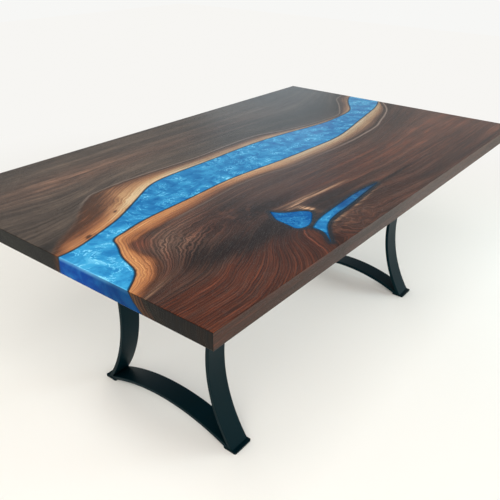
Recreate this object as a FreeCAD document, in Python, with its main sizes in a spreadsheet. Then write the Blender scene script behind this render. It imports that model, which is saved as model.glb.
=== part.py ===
# Live edge dining table: two walnut slabs with their natural edges turned inwards, a cast resin river
# between them, two resin filled knots, and two bent flat bar leg frames screwed up into the slabs.
#
# Frame: millimetres, Z up, origin on the floor under the centre of the top. X runs along the length,
# from the near end (-X) to the far end (+X). The left slab is on the +Y side, the right slab on -Y.

import FreeCAD, Part
import math
import os
import Sketcher

doc = FreeCAD.newDocument("LiveEdgeTable")

# ---------------------------------------------------------------------------------------------------
# Driving dimensions
# ---------------------------------------------------------------------------------------------------

SIZES = [
    ("table_length", 1829.0, "overall length of the top"),
    ("table_width", 1067.0, "overall width of the top"),
    ("table_height", 762.0, "floor to the top surface"),
    ("top_thickness", 44.5, "thickness of slabs and river"),
    ("eased_edge", 2.0, "radius sanded on the rim of the top"),
    ("live_edge_bulge", 0.38, "share of the undercut reached at mid thickness"),
    ("tail_depth", 18.0, "depth of the resin filled check beside the knot pool"),
    ("knot_tolerance", 1.0, "how closely the arcs of a knot's outline follow its curve"),
    ("near_leg_inset", 355.5, "near end of the top to the edge of the near leg bar"),
    ("far_leg_inset", 219.0, "far end of the top to the edge of the far leg bar"),
    ("bar_width", 76.2, "width of the flat bar"),
    ("bar_thickness", 12.7, "thickness of the flat bar"),
    ("bar_edge_chamfer", 1.2, "broken edge along the flat bar"),
    ("waist_half_width", 196.0, "middle of the frame to the outer face of an upright at its waist"),
    ("waist_height", 304.0, "floor to the waist"),
    ("upright_radius", 528.0, "bend radius of an upright, on its outer face"),
    ("arch_radius", 678.0, "bend radius of the arched stretcher, on its underside"),
    ("foot_plate_thickness", 6.35, "thickness of a foot plate"),
    ("foot_plate_length", 50.8, "foot plate, across the table"),
    ("foot_plate_overhang", 15.0, "foot plate beyond the outer face of the upright"),
    ("foot_plate_margin", 1.6, "foot plate beyond each edge of the bar"),
    ("foot_plate_corner", 6.0, "corner radius of a foot plate"),
    ("mounting_plate_thickness", 6.35, "thickness of a mounting plate"),
    ("mounting_plate_overhang", 19.0, "mounting plate beyond the outer face of the upright"),
    ("mounting_plate_corner", 8.0, "corner radius of a mounting plate"),
    ("screw_pitch", 40.0, "spacing of a pair of screws along the table"),
    ("screw_reach", 250.0, "middle of the frame to the screws of one slab"),
    ("slot_width", 9.0, "width of a screw slot"),
    ("slot_length", 22.0, "length of a screw slot, end to end, across the table"),
    ("screw_diameter", 8.0, "shank of a screw"),
    ("screw_length", 38.0, "screw under its head"),
    ("screw_head_flats", 13.0, "screw head across its flats"),
    ("screw_head_height", 5.3, "height of a screw head"),
    ("washer_diameter", 24.0, "outside of a washer"),
    ("washer_bore", 8.4, "hole of a washer"),
    ("washer_thickness", 2.0, "thickness of a washer"),
    ("pilot_clearance", 0.1, "radial clearance of a screw's plain shank in the wood"),
    ("pilot_relief", 3.0, "depth of the hole beyond the screw"),
    ("weld_leg", 5.0, "leg of the weld beads under a mounting plate"),
    ("weld_end_gap", 3.0, "bar left bare at each end of a bead"),
]

# Sizes that follow from the ones above.
WORKED = [
    ("half_length", "=Sizes.table_length / 2"),
    ("underside", "=Sizes.table_height - Sizes.top_thickness"),
    ("mid_level", "=Sizes.table_height - Sizes.top_thickness / 2"),
    ("near_leg_place", "=-Sizes.table_length / 2 + Sizes.near_leg_inset + Sizes.bar_width / 2"),
    ("far_leg_place", "=Sizes.table_length / 2 - Sizes.far_leg_inset - Sizes.bar_width / 2"),
    ("upright_top", "=Worked.underside - Sizes.mounting_plate_thickness"),
    ("upright_centre_reach", "=Sizes.waist_half_width + Sizes.upright_radius"),
    ("upright_inner_radius", "=Sizes.upright_radius + Sizes.bar_thickness"),
    ("top_rise", "=Worked.upright_top - Sizes.waist_height"),
    ("foot_drop", "=Sizes.waist_height - Sizes.foot_plate_thickness"),
    ("top_outer_reach",
     "=Worked.upright_centre_reach - sqrt(Sizes.upright_radius ^ 2 - Worked.top_rise ^ 2)"),
    ("top_inner_reach",
     "=Worked.upright_centre_reach - sqrt(Worked.upright_inner_radius ^ 2 - Worked.top_rise ^ 2)"),
    ("foot_outer_reach",
     "=Worked.upright_centre_reach - sqrt(Sizes.upright_radius ^ 2 - Worked.foot_drop ^ 2)"),
    ("foot_inner_reach",
     "=Worked.upright_centre_reach - sqrt(Worked.upright_inner_radius ^ 2 - Worked.foot_drop ^ 2)"),
    ("arch_top_radius", "=Sizes.arch_radius + Sizes.bar_thickness"),
    ("foot_plate_outer_reach", "=Worked.foot_outer_reach + Sizes.foot_plate_overhang"),
    ("foot_plate_inner_reach", "=Worked.foot_plate_outer_reach - Sizes.foot_plate_length"),
    ("foot_plate_width", "=Sizes.bar_width + 2 * Sizes.foot_plate_margin"),
    ("mounting_plate_length", "=2 * (Worked.top_outer_reach + Sizes.mounting_plate_overhang)"),
    ("half_pitch", "=Sizes.screw_pitch / 2"),
    ("slot_centres", "=Sizes.slot_length - Sizes.slot_width"),
    ("slot_radius", "=Sizes.slot_width / 2"),
    ("head_circumradius", "=Sizes.screw_head_flats / sqrt(3)"),
    ("head_underside", "=-Sizes.washer_thickness - Sizes.screw_head_height"),
    ("pilot_depth",
     "=Sizes.screw_length - Sizes.washer_thickness - Sizes.mounting_plate_thickness + Sizes.pilot_relief"),
    ("weld_length", "=Sizes.bar_width - 2 * Sizes.weld_end_gap"),
    ("half_bar", "=Sizes.bar_width / 2"),
    ("saw_width", "=2 * Sizes.bar_width"),
    ("saw_reach", "=2 * Worked.upright_centre_reach"),
]


def fill_sheet(name, rows):
    """A spreadsheet with one row for each value: its alias, the value, and what it is."""
    sheet = doc.addObject("Spreadsheet::Sheet", name)
    for line, (alias, value, *note) in enumerate(rows, start=1):
        sheet.set("A%d" % line, alias)
        sheet.set("B%d" % line, str(value))
        sheet.setAlias("B%d" % line, alias)
        sheet.set("C%d" % line, note[0] if note else "")
    return sheet


sizes = fill_sheet("Sizes", SIZES)
worked = fill_sheet("Worked", WORKED)
doc.recompute()


def size_of(cell):
    """The number in a cell, named as in an expression, such as Sizes.bar_width."""
    sheet_name, alias = cell.split(".")
    return float(getattr(doc.getObject(sheet_name), alias))


# ---------------------------------------------------------------------------------------------------
# Steps that many pieces share
# ---------------------------------------------------------------------------------------------------

def new_body(name):
    body = doc.addObject("PartDesign::Body", name)
    body.AllowCompound = True
    return body


def origin_plane(body, role):
    return next(item for item in body.Origin.OriginFeatures if item.Role == role)


def sketch_on(body, name, role):
    sketch = body.newObject("Sketcher::SketchObject", name)
    sketch.AttachmentSupport = [(origin_plane(body, role), "")]
    sketch.MapMode = "FlatFace"
    return sketch


def point(across, up):
    return FreeCAD.Vector(across, up, 0)


def dimension(sketch, kind, *places, cell):
    """A sketch dimension that reads its value from a cell."""
    index = sketch.addConstraint(Sketcher.Constraint(kind, *places, size_of(cell)))
    sketch.setExpression("Constraints[%d]" % index, cell)


def tie(sketch, kind, *places):
    sketch.addConstraint(Sketcher.Constraint(kind, *places))


def arc(sketch, centre, radius, start, end):
    circle = Part.Circle(centre, FreeCAD.Vector(0, 0, 1), radius)
    return sketch.addGeometry(Part.ArcOfCircle(circle, start, end))


def line(sketch, start, end):
    return sketch.addGeometry(Part.LineSegment(start, end))


def pad(body, name, sketch, cell, symmetric=False):
    feature = body.newObject("PartDesign::Pad", name)
    feature.Profile = sketch
    feature.SideType = "Symmetric" if symmetric else "One side"
    feature.setExpression("Length", cell)
    doc.recompute()
    return feature


def edges_where(feature, wanted):
    """The names of a feature's edges that pass the test."""
    return ["Edge%d" % place for place, edge in enumerate(feature.Shape.Edges, start=1) if wanted(edge)]


def round_edges(body, name, base, cell, wanted):
    """A fillet on the edges of a feature that the test picks out."""
    fillet = body.newObject("PartDesign::Fillet", name)
    fillet.Base = (base, edges_where(base, wanted))
    fillet.setExpression("Radius", cell)
    doc.recompute()
    return fillet


def is_upright(edge):
    """True for a straight edge that runs straight up."""
    box = edge.BoundBox
    return box.ZLength > 0 and box.XLength + box.YLength < 1e-6


def four_lines(sketch, corners):
    """A level rectangle, anticlockwise from its lower left corner: lines 0 to 3."""
    for place, corner in enumerate(corners):
        line(sketch, corner, corners[(place + 1) % 4])
    for place in range(4):
        tie(sketch, "Coincident", place, 2, (place + 1) % 4, 1)
    for place in (1, 3):
        tie(sketch, "Vertical", place)
    tie(sketch, "Horizontal", 2)


def centred_rectangle(sketch, wide_cell, deep_cell):
    """A rectangle about the sketch's origin."""
    across = size_of(wide_cell) / 2
    up = size_of(deep_cell) / 2
    four_lines(sketch, [point(-across, -up), point(across, -up), point(across, up), point(-across, up)])
    tie(sketch, "Symmetric", 0, 1, 2, 1, -1, 1)
    dimension(sketch, "DistanceX", 0, 1, 0, 2, cell=wide_cell)
    dimension(sketch, "DistanceY", 1, 1, 1, 2, cell=deep_cell)


# ---------------------------------------------------------------------------------------------------
# The top: an eased blank, parted by the two live edges
# ---------------------------------------------------------------------------------------------------

# A live edge, from the near end to the far end: how far along, as a per cent of the table's length; how
# far from the centre line on the top surface, of its width; and how far back into the wood the edge has
# run at the underside, of the top's thickness.
LEFT_LIVE_EDGE = [
    (-1.0, -5.3, 4), (2.5, -5.4, 7), (6.5, -3.7, 13), (12.0, -0.7, 20), (17.0, 3.4, 27), (21.0, 7.0, 27),
    (25.0, 10.1, 22), (30.0, 11.1, 20), (40.0, 11.0, 18), (50.0, 11.1, 20), (60.0, 9.9, 22), (68.0, 7.8, 18),
    (75.0, 6.2, 18), (82.0, 6.4, 22), (88.0, 8.1, 27), (92.0, 12.5, 27), (96.0, 16.8, 22), (101.0, 20.1, 20),
]
RIGHT_LIVE_EDGE = [
    (-1.0, -29.0, 90), (1.5, -26.0, 85), (3.6, -22.9, 66), (4.4, -19.6, 47), (5.3, -15.4, 33),
    (6.2, -12.9, 28), (7.0, -10.3, 27), (7.55, -8.5, 27), (8.2, -7.8, 27), (9.3, -7.4, 28),
    (12.0, -6.4, 31), (16.0, -5.5, 31), (25.0, -4.9, 25), (35.0, -4.1, 22), (46.0, -5.6, 27),
    (58.0, -6.6, 22), (66.0, -6.9, 25), (72.0, -5.7, 27), (79.0, -3.2, 22), (87.0, -0.4, 25),
    (93.0, 1.8, 27), (101.0, 7.0, 27),
]

# Outlines of the two resin filled knots, from the middle of the top: per cent of its length and width.
KNOT_POOL = [
    (-21.3, -26.9), (-20.6, -29.4), (-18.5, -32.2), (-17.6, -34.3), (-19.4, -37.1),
    (-22.5, -38.7), (-23.8, -37.4), (-23.6, -34.4), (-23.3, -30.9), (-22.5, -28.7),
]
KNOT_TAIL = [
    (-21.8, -39.9), (-18.6, -38.4), (-12.4, -37.6), (-6.6, -37.1), (-0.3, -38.1), (-6.6, -39.5),
    (-12.4, -40.5), (-18.0, -41.2), (-20.7, -43.0), (-24.3, -47.6), (-22.5, -43.9), (-22.1, -41.8),
]

blank = new_body("TopBlank")
blank_outline = sketch_on(blank, "BlankOutline", "XY_Plane")
centred_rectangle(blank_outline, "Sizes.table_length", "Sizes.table_width")
blank_pad = pad(blank, "BlankPad", blank_outline, "Sizes.top_thickness")
round_edges(blank, "BlankEasedRim", blank_pad, "Sizes.eased_edge", lambda edge: not is_upright(edge))
blank.setExpression("Placement.Base.z", "Worked.underside")


def of_length(per_cent):
    return per_cent / 100 * size_of("Sizes.table_length")


def of_width(per_cent):
    return per_cent / 100 * size_of("Sizes.table_width")


def of_thickness(per_cent):
    return per_cent / 100 * size_of("Sizes.top_thickness")


def live_edge_outline(name, stations, side, share, level_cell):
    """The wood's plan at one level: its live edge as one smooth curve, closed well past the rim."""
    start = -size_of("Worked.half_length")
    edge = [point(start + of_length(station), of_width(offset) + side * share * of_thickness(undercut))
            for station, offset, undercut in stations]
    outside = side * size_of("Sizes.table_width")
    curve = Part.BSplineCurve()
    curve.interpolate(edge)
    outline = doc.addObject("Sketcher::SketchObject", name)
    outline.addGeometry(curve)
    line(outline, edge[-1], point(edge[-1].x, outside))
    line(outline, point(edge[-1].x, outside), point(edge[0].x, outside))
    line(outline, point(edge[0].x, outside), edge[0])
    outline.setExpression("Placement.Base.z", level_cell)
    return outline


def loft(name, outlines):
    """A solid whose wall runs straight from each outline to the next."""
    feature = doc.addObject("Part::Loft", name)
    feature.Sections = outlines
    feature.Solid = True
    feature.Ruled = True
    return feature


def wood_region(name, stations, side):
    """Everything on the wood's side of a live edge, whose wall leans back in two stages, as bark does."""
    bulge = size_of("Sizes.live_edge_bulge")
    outlines = [
        live_edge_outline(name + "Lower", stations, side, 1.0, "Worked.underside"),
        live_edge_outline(name + "Middle", stations, side, bulge, "Worked.mid_level"),
        live_edge_outline(name + "Upper", stations, side, 0.0, "Sizes.table_height"),
    ]
    return loft(name, outlines)


def knot_void(name, corners, depth_cell):
    """A straight walled hole, from the top surface down. Its outline is a smooth ring of tangent arcs."""
    curve = Part.BSplineCurve()
    curve.interpolate([point(of_length(x), of_width(y)) for x, y in corners], PeriodicFlag=True)
    outline = doc.addObject("Sketcher::SketchObject", name + "Outline")
    for piece in curve.toBiArcs(size_of("Sizes.knot_tolerance")):
        outline.addGeometry(piece)
    outline.setExpression("Placement.Base.z", "Sizes.table_height")
    void = doc.addObject("Part::Extrusion", name)
    void.Base = outline
    void.DirMode = "Custom"
    void.Dir = FreeCAD.Vector(0, 0, -1)
    void.setExpression("LengthFwd", depth_cell)
    void.Solid = True
    return void


def boolean(kind, name, base, tool):
    feature = doc.addObject("Part::" + kind, name)
    feature.Base = base
    feature.Tool = tool
    return feature


left_region = wood_region("LeftWood", LEFT_LIVE_EDGE, 1)
right_region = wood_region("RightWood", RIGHT_LIVE_EDGE, -1)

# The pool is a knot that dropped out right through the slab. The tail is an open check beside it, routed
# clean to one depth and filled level.
pool_void = knot_void("PoolVoid", KNOT_POOL, "Sizes.top_thickness")
tail_void = knot_void("TailVoid", KNOT_TAIL, "Sizes.tail_depth")


# ---------------------------------------------------------------------------------------------------
# Leg frames: flat bar bent, welded and screwed up
# ---------------------------------------------------------------------------------------------------

def bar_section(body, name):
    """The flat bar's section at the waist, and the axis that it is bent about."""
    section = sketch_on(body, name, "XY_Plane")
    section.setExpression("AttachmentOffset.Base.z", "Sizes.waist_height")
    half_width = size_of("Worked.half_bar")
    outer = size_of("Sizes.waist_half_width")
    inner = outer - size_of("Sizes.bar_thickness")
    four_lines(section, [point(-half_width, inner), point(half_width, inner),
                         point(half_width, outer), point(-half_width, outer)])
    tie(section, "Symmetric", 0, 1, 0, 2, -2)
    dimension(section, "DistanceX", 0, 1, 0, 2, cell="Sizes.bar_width")
    dimension(section, "DistanceY", 1, 1, 1, 2, cell="Sizes.bar_thickness")
    dimension(section, "DistanceY", -1, 1, 2, 1, cell="Sizes.waist_half_width")
    reach = size_of("Worked.upright_centre_reach")
    axis = section.addGeometry(Part.LineSegment(point(-half_width, reach), point(half_width, reach)), True)
    tie(section, "Symmetric", axis, 1, axis, 2, -2)
    dimension(section, "DistanceX", axis, 1, axis, 2, cell="Sizes.bar_width")
    dimension(section, "DistanceY", -1, 1, axis, 1, cell="Worked.upright_centre_reach")
    return section


def cut_level(body, name, level_cell, upwards):
    """Saws a bent bar off level, and takes away what lies past the cut."""
    plan = sketch_on(body, name + "Plan", "XY_Plane")
    plan.setExpression("AttachmentOffset.Base.z", level_cell)
    centred_rectangle(plan, "Worked.saw_width", "Worked.saw_reach")
    cut = body.newObject("PartDesign::Pocket", name)
    cut.Profile = plan
    cut.Type = "ThroughAll"
    cut.Reversed = upwards
    doc.recompute()


def upright(name):
    """One upright: flat bar bent about an axis outside the frame, so that its hollow side faces out."""
    body = new_body(name)
    section = bar_section(body, name + "Section")
    bend = body.newObject("PartDesign::Revolution", name + "Bend")
    bend.Profile = section
    bend.ReferenceAxis = (section, ["Axis0"])
    bend.Type = "TwoAngles"
    # The bar is bent a little past both ends of the upright and then sawn off.
    bend.setExpression("Angle", "asin(Worked.foot_drop / Sizes.upright_radius) + 3 deg")
    bend.setExpression("Angle2", "asin(Worked.top_rise / Sizes.upright_radius) + 3 deg")
    doc.recompute()
    break_edges(body, name + "BrokenEdges", bend)
    cut_level(body, name + "TopCut", "Worked.upright_top", True)
    cut_level(body, name + "FootCut", "Sizes.foot_plate_thickness", False)
    return body


def break_edges(body, name, bar):
    """Takes the sharpness off the long edges of a bent bar: the curved ones, except across its ends."""
    names = edges_where(bar, lambda edge: edge.Curve.TypeId == "Part::GeomCircle"
                        and edge.Length > size_of("Sizes.bar_width"))
    chamfer = body.newObject("PartDesign::Chamfer", name)
    chamfer.Base = (bar, names)
    chamfer.setExpression("Size", "Sizes.bar_edge_chamfer")
    doc.recompute()


def arch_meets_upright():
    """Where the stretcher's upper face meets the inner face of an upright: two circles crossing."""
    arch_centre = point(0, arch_centre_height())
    upright_centre = point(size_of("Worked.upright_centre_reach"), size_of("Sizes.waist_height"))
    apart = upright_centre.sub(arch_centre)
    arch_top = size_of("Worked.arch_top_radius")
    upright_inner = size_of("Worked.upright_inner_radius")
    along = (arch_top ** 2 - upright_inner ** 2 + apart.Length ** 2) / (2 * apart.Length)
    aside = math.sqrt(arch_top ** 2 - along ** 2)
    unit = FreeCAD.Vector(apart).normalize()
    return arch_centre + unit * along + point(-unit.y, unit.x) * aside


def arch_centre_height():
    """The stretcher's underside comes down to the inner edges of the two foot plates."""
    reach = size_of("Worked.foot_plate_inner_reach")
    return size_of("Sizes.foot_plate_thickness") - math.sqrt(size_of("Sizes.arch_radius") ** 2 - reach ** 2)


def mirrored(place):
    return point(-place.x, place.y)


def angle_about(centre, place):
    return math.atan2(place.y - centre.y, place.x - centre.x)


def arch_stretcher(name):
    """The arched bar between the feet. Its toes lie on the foot plates and fit the uprights' faces."""
    body = new_body(name)
    profile = sketch_on(body, name + "Profile", "YZ_Plane")
    floor_level = size_of("Sizes.foot_plate_thickness")
    arch_centre = point(0, arch_centre_height())
    upright_centre = point(size_of("Worked.upright_centre_reach"), size_of("Sizes.waist_height"))
    toe = point(size_of("Worked.foot_plate_inner_reach"), floor_level)
    heel = point(size_of("Worked.foot_inner_reach"), floor_level)
    crest = arch_meets_upright()

    under = arc(profile, arch_centre, size_of("Sizes.arch_radius"),
                angle_about(arch_centre, toe), angle_about(arch_centre, mirrored(toe)))
    over = arc(profile, arch_centre, size_of("Worked.arch_top_radius"),
               angle_about(arch_centre, crest), angle_about(arch_centre, mirrored(crest)))
    right_sole = line(profile, toe, heel)
    left_sole = line(profile, mirrored(toe), mirrored(heel))
    inner_radius = size_of("Worked.upright_inner_radius")
    right_end = arc(profile, upright_centre, inner_radius,
                    angle_about(upright_centre, crest), angle_about(upright_centre, heel))
    left_centre = mirrored(upright_centre)
    left_end = arc(profile, left_centre, inner_radius,
                   angle_about(left_centre, mirrored(heel)), angle_about(left_centre, mirrored(crest)))

    tie(profile, "PointOnObject", under, 3, -2)
    tie(profile, "Coincident", over, 3, under, 3)
    tie(profile, "Coincident", under, 1, right_sole, 1)
    tie(profile, "Coincident", under, 2, left_sole, 1)
    tie(profile, "Coincident", over, 1, right_end, 1)
    tie(profile, "Coincident", over, 2, left_end, 2)
    tie(profile, "Coincident", right_end, 2, right_sole, 2)
    tie(profile, "Coincident", left_end, 1, left_sole, 2)
    tie(profile, "Symmetric", right_end, 3, left_end, 3, -2)
    tie(profile, "Equal", right_end, left_end)
    dimension(profile, "Radius", under, cell="Sizes.arch_radius")
    dimension(profile, "Radius", over, cell="Worked.arch_top_radius")
    dimension(profile, "Radius", right_end, cell="Worked.upright_inner_radius")
    dimension(profile, "DistanceX", -1, 1, right_end, 3, cell="Worked.upright_centre_reach")
    dimension(profile, "DistanceY", -1, 1, right_end, 3, cell="Sizes.waist_height")
    dimension(profile, "DistanceX", -1, 1, right_sole, 1, cell="Worked.foot_plate_inner_reach")
    for sole in (right_sole, left_sole):
        tie(profile, "Horizontal", sole)
        dimension(profile, "DistanceY", -1, 1, sole, 1, cell="Sizes.foot_plate_thickness")
    bar = pad(body, name + "Bar", profile, "Sizes.bar_width", symmetric=True)
    break_edges(body, name + "BrokenEdges", bar)
    return body


def foot_plate(name):
    """A small flat plate under an upright and the toe of the stretcher."""
    body = new_body(name)
    outline = sketch_on(body, name + "Outline", "XY_Plane")
    half_width = size_of("Worked.foot_plate_width") / 2
    near = size_of("Worked.foot_plate_inner_reach")
    far = size_of("Worked.foot_plate_outer_reach")
    four_lines(outline, [point(-half_width, near), point(half_width, near),
                         point(half_width, far), point(-half_width, far)])
    tie(outline, "Symmetric", 0, 1, 0, 2, -2)
    dimension(outline, "DistanceX", 0, 1, 0, 2, cell="Worked.foot_plate_width")
    dimension(outline, "DistanceY", -1, 1, 0, 1, cell="Worked.foot_plate_inner_reach")
    dimension(outline, "DistanceY", -1, 1, 2, 1, cell="Worked.foot_plate_outer_reach")
    plate = pad(body, name + "Plate", outline, "Sizes.foot_plate_thickness")
    round_edges(body, name + "Corners", plate, "Sizes.foot_plate_corner", is_upright)
    return body


def four_corners(body, name, originals):
    """Repeats the features of one quarter of a frame in the other three."""
    mirrors = []
    for role in ("XZ_Plane", "YZ_Plane"):
        mirror = body.newObject("PartDesign::Mirrored", name + role[:2])
        mirror.MirrorPlane = (origin_plane(body, role), [""])
        mirrors.append(mirror)
    pattern = body.newObject("PartDesign::MultiTransform", name)
    pattern.Originals = originals
    pattern.Transformations = mirrors
    body.Tip = pattern
    doc.recompute()
    return pattern


def mounting_plate(name):
    """The flat bar under the top. Its slots run across the table, so that the slabs can move."""
    body = new_body(name)
    outline = sketch_on(body, name + "Outline", "XY_Plane")
    centred_rectangle(outline, "Sizes.bar_width", "Worked.mounting_plate_length")
    plate = pad(body, name + "Plate", outline, "Sizes.mounting_plate_thickness")
    round_edges(body, name + "Corners", plate, "Sizes.mounting_plate_corner", is_upright)

    slot = sketch_on(body, name + "SlotOutline", "XY_Plane")
    across = size_of("Worked.half_pitch")
    reach = size_of("Sizes.screw_reach")
    slot_radius = size_of("Worked.slot_radius")
    half_slot = size_of("Worked.slot_centres") / 2
    outer_end = arc(slot, point(across, reach + half_slot), slot_radius, 0, math.pi)
    inner_end = arc(slot, point(across, reach - half_slot), slot_radius, math.pi, 2 * math.pi)
    left_flank = line(slot, point(across - slot_radius, reach + half_slot),
                      point(across - slot_radius, reach - half_slot))
    right_flank = line(slot, point(across + slot_radius, reach - half_slot),
                       point(across + slot_radius, reach + half_slot))
    middle = slot.addGeometry(Part.Point(point(across, reach)), True)
    tie(slot, "Tangent", outer_end, 2, left_flank, 1)
    tie(slot, "Tangent", left_flank, 2, inner_end, 1)
    tie(slot, "Tangent", inner_end, 2, right_flank, 1)
    tie(slot, "Tangent", right_flank, 2, outer_end, 1)
    tie(slot, "Vertical", left_flank)
    tie(slot, "Symmetric", outer_end, 3, inner_end, 3, middle, 1)
    dimension(slot, "Radius", outer_end, cell="Worked.slot_radius")
    dimension(slot, "DistanceY", inner_end, 3, outer_end, 3, cell="Worked.slot_centres")
    dimension(slot, "DistanceX", -1, 1, middle, 1, cell="Worked.half_pitch")
    dimension(slot, "DistanceY", -1, 1, middle, 1, cell="Sizes.screw_reach")

    cut = body.newObject("PartDesign::Pocket", name + "FirstSlot")
    cut.Profile = slot
    cut.Type = "ThroughAll"
    cut.Reversed = True
    doc.recompute()
    four_corners(body, name + "Slots", [cut])
    return body


def round_stack(name, layers):
    """A group of like turned parts, one at each slot. A layer is a primitive, its sizes and its level."""
    body = new_body(name)
    features = []
    for layer, (primitive, bound_sizes, level) in enumerate(layers):
        feature = body.newObject("PartDesign::" + primitive, "%s%d" % (name, layer))
        feature.AttachmentSupport = [(origin_plane(body, "XY_Plane"), "")]
        feature.MapMode = "FlatFace"
        for prop, expression in bound_sizes.items():
            feature.setExpression(prop, expression)
        feature.setExpression("AttachmentOffset.Base.x", "Worked.half_pitch")
        feature.setExpression("AttachmentOffset.Base.y", "Sizes.screw_reach")
        feature.setExpression("AttachmentOffset.Base.z", level)
        features.append(feature)
    doc.recompute()
    four_corners(body, name + "Group", features)
    return body


def lag_screws(name):
    """Hexagon headed wood screws. The level of each layer is measured from the plate's underside."""
    return round_stack(name, [
        ("AdditivePrism", {"Circumradius": "Worked.head_circumradius", "Height": "Sizes.screw_head_height"},
         "Worked.head_underside"),
        ("AdditiveCylinder", {"Radius": "Sizes.screw_diameter / 2", "Height": "Sizes.screw_length"},
         "-Sizes.washer_thickness"),
    ])


def washers(name):
    """Wide flat washers that bridge the slots."""
    return round_stack(name, [
        ("AdditiveCylinder", {"Radius": "Sizes.washer_diameter / 2", "Height": "Sizes.washer_thickness"},
         "-Sizes.washer_thickness"),
        ("SubtractiveCylinder", {"Radius": "Sizes.washer_bore / 2", "Height": "Sizes.washer_thickness"},
         "-Sizes.washer_thickness"),
    ])


def screw_holes(name):
    """The blind holes that the screws fill, taken out of the slabs."""
    return round_stack(name, [
        ("AdditiveCylinder",
         {"Radius": "Sizes.screw_diameter / 2 + Sizes.pilot_clearance", "Height": "Worked.pilot_depth"},
         "Sizes.mounting_plate_thickness"),
    ])


def weld_beads(name, place_cell, uprights):
    """Rounded fillet welds in the corners between the uprights and the mounting plate."""
    beads = []
    for side, piece in uprights:
        for face in ("outer", "inner"):
            bead = doc.addObject("Part::Cylinder", "%s%s%s" % (name, piece.Name, face.title()))
            bead.Angle = 180
            bead.setExpression("Radius", "Sizes.weld_leg")
            bead.setExpression("Height", "Worked.weld_length")
            # Turned so that its axis lies along the bar's width and its round side hangs down.
            bead.Placement.Rotation = FreeCAD.Rotation(
                FreeCAD.Vector(0, -1, 0), FreeCAD.Vector(0, 0, -1), FreeCAD.Vector(1, 0, 0))
            bead.setExpression("Placement.Base.x", "%s - Worked.weld_length / 2" % place_cell)
            bead.setExpression("Placement.Base.y", "%d * Worked.top_%s_reach" % (side, face))
            bead.setExpression("Placement.Base.z", "Worked.upright_top")
            beads.append(boolean("Cut", bead.Name + "Fitted", bead, piece))
    group = doc.addObject("Part::Compound", name)
    group.Links = beads
    return group


nodes = {}


def keep(node, piece):
    """Names a finished piece. The name is also that of its file."""
    piece.Label = node
    nodes[node] = piece


def set_frame_piece(node, piece, place_cell, level_cell=None, turned=False):
    """Moves a piece of a leg frame to its frame. A turned one serves the right side."""
    if turned:
        piece.Placement.Rotation = FreeCAD.Rotation(FreeCAD.Vector(0, 0, 1), 180)
    piece.setExpression("Placement.Base.x", place_cell)
    if level_cell:
        piece.setExpression("Placement.Base.z", level_cell)
    keep(node, piece)
    return piece


hole_tools = []
for end in ("near", "far"):
    place = "Worked.%s_leg_place" % end
    title = end.title()
    set_frame_piece(end + "_leg_mounting_plate", mounting_plate(title + "MountingPlate"), place,
                    "Worked.upright_top")
    left = set_frame_piece(end + "_leg_left_upright", upright(title + "LeftUpright"), place)
    right = set_frame_piece(end + "_leg_right_upright", upright(title + "RightUpright"), place, turned=True)
    set_frame_piece(end + "_leg_arch_stretcher", arch_stretcher(title + "Stretcher"), place)
    set_frame_piece(end + "_leg_left_foot_plate", foot_plate(title + "LeftFoot"), place)
    set_frame_piece(end + "_leg_right_foot_plate", foot_plate(title + "RightFoot"), place, turned=True)
    set_frame_piece(end + "_leg_lag_screws", lag_screws(title + "Screws"), place, "Worked.upright_top")
    set_frame_piece(end + "_leg_washers", washers(title + "Washers"), place, "Worked.upright_top")
    keep(end + "_leg_weld_beads", weld_beads(title + "Welds", place, [(1, left), (-1, right)]))
    holes = screw_holes(title + "ScrewHoles")
    holes.setExpression("Placement.Base.x", place)
    holes.setExpression("Placement.Base.z", "Worked.upright_top")
    hole_tools.append(holes)


# ---------------------------------------------------------------------------------------------------
# The top's pieces, parted and drilled
# ---------------------------------------------------------------------------------------------------

def drilled(name, slab):
    """A slab with the holes for both frames' screws."""
    for place, tool in enumerate(hole_tools):
        slab = boolean("Cut", "%sDrilled%d" % (name, place), slab, tool)
    return slab


left_plank = boolean("Common", "LeftPlank", blank, left_region)
keep("slab_left", drilled("LeftSlab", left_plank))

right_plank = boolean("Common", "RightPlank", blank, right_region)
pool_opened = boolean("Cut", "RightPlankPool", right_plank, pool_void)
tail_opened = boolean("Cut", "RightPlankTail", pool_opened, tail_void)
keep("slab_right", drilled("RightSlab", tail_opened))

river_rough = boolean("Cut", "RiverRough", blank, left_region)
keep("resin_river", boolean("Cut", "River", river_rough, right_region))
keep("resin_knot_pool", boolean("Common", "PoolFill", blank, pool_void))
keep("resin_knot_tail", boolean("Common", "TailFill", blank, tail_void))

# ---------------------------------------------------------------------------------------------------
# Test and write
# ---------------------------------------------------------------------------------------------------

doc.recompute()

for item in doc.Objects:
    faults = [state for state in item.State if state in ("Invalid", "Error")]
    if faults:
        raise RuntimeError("%s is %s" % (item.Label, ", ".join(faults)))
for node, piece in nodes.items():
    if piece.Shape.isNull() or not piece.Shape.isValid() or not piece.Shape.Solids:
        raise RuntimeError("%s has no sound solid" % node)

os.makedirs("parts", exist_ok=True)
for node, piece in nodes.items():
    piece.Shape.exportStep("parts/%s.step" % node)
    box = piece.Shape.optimalBoundingBox()
    print("%-28s solids %2d  volume %12.1f  x %8.1f..%8.1f  y %8.1f..%8.1f  z %6.1f..%6.1f" % (
        node, len(piece.Shape.Solids), piece.Shape.Volume,
        box.XMin, box.XMax, box.YMin, box.YMax, box.ZMin, box.ZMax))
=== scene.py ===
import math

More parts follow.
